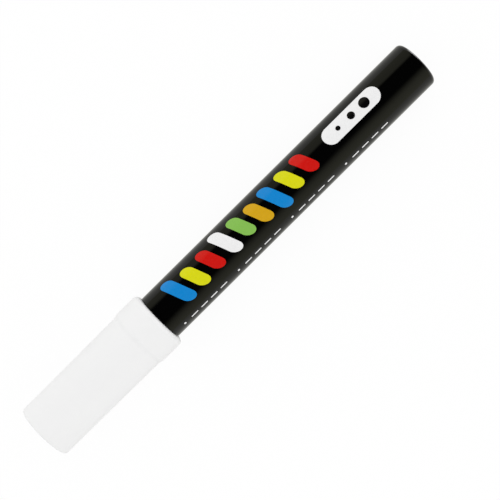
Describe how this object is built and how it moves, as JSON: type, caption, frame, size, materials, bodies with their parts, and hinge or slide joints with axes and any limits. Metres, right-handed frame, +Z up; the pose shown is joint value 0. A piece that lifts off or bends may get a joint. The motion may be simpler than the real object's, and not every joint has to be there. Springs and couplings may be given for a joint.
{
  "type": "paint marker",
  "caption": "Paint marker: round barrel, pull-off cap, and a bullet-tipped fibre nib that is pressed in against a spring to let paint through a valve.",
  "frame": {"origin": "on the surface that the marker lies on, under the middle of its length", "axes": "+X along the marker's level axis towards the closed end of the barrel, nib towards -X, +Z up"},
  "size_m": [0.1406, 0.0176, 0.0176],
  "materials": {
    "barrel_black": "polished",
    "natural_plastic": "satin, milky",
    "clear_plastic": "glossy, translucent",
    "nib_fibre": "bonded fibre",
    "valve_plastic": "as moulded",
    "gasket_rubber": "smooth",
    "spring_steel": "drawn wire",
    "ball_steel": "polished",
    "cap_white": "satin",
    "seal_plastic": "soft, as moulded"
  },
  "bodies": {
    "barrel": {"barrel": "barrel_black", "front_collar": "natural_plastic", "nib_holder": "clear_plastic", "valve_seat": "valve_plastic", "spring_cage": "valve_plastic", "valve_spring": "spring_steel"},
    "nib": {"nib": "nib_fibre", "valve_stem": "valve_plastic", "stem_gasket": "gasket_rubber"},
    "cap": {"cap_shell": "cap_white", "cap_inner_seal": "seal_plastic"},
    "ball": {"mixing_ball": "ball_steel"}
  },
  "joints": [
    {"name": "nib_press", "type": "slide", "parent": "barrel", "child": "nib", "axis": [1, 0, 0], "range_m": [0, 0.002], "stiffness_N_per_m": 600, "springref_m": -0.0025, "deforming": ["valve_spring"]},
    {"name": "cap_pull", "type": "slide", "parent": "barrel", "child": "cap", "axis": [-1, 0, 0], "range_m": [0, 0.045]},
    {"name": "ball_roll", "type": "slide", "parent": "barrel", "child": "ball", "axis": [-1, 0, 0], "range_m": [0, 0.0653]}
  ]
}
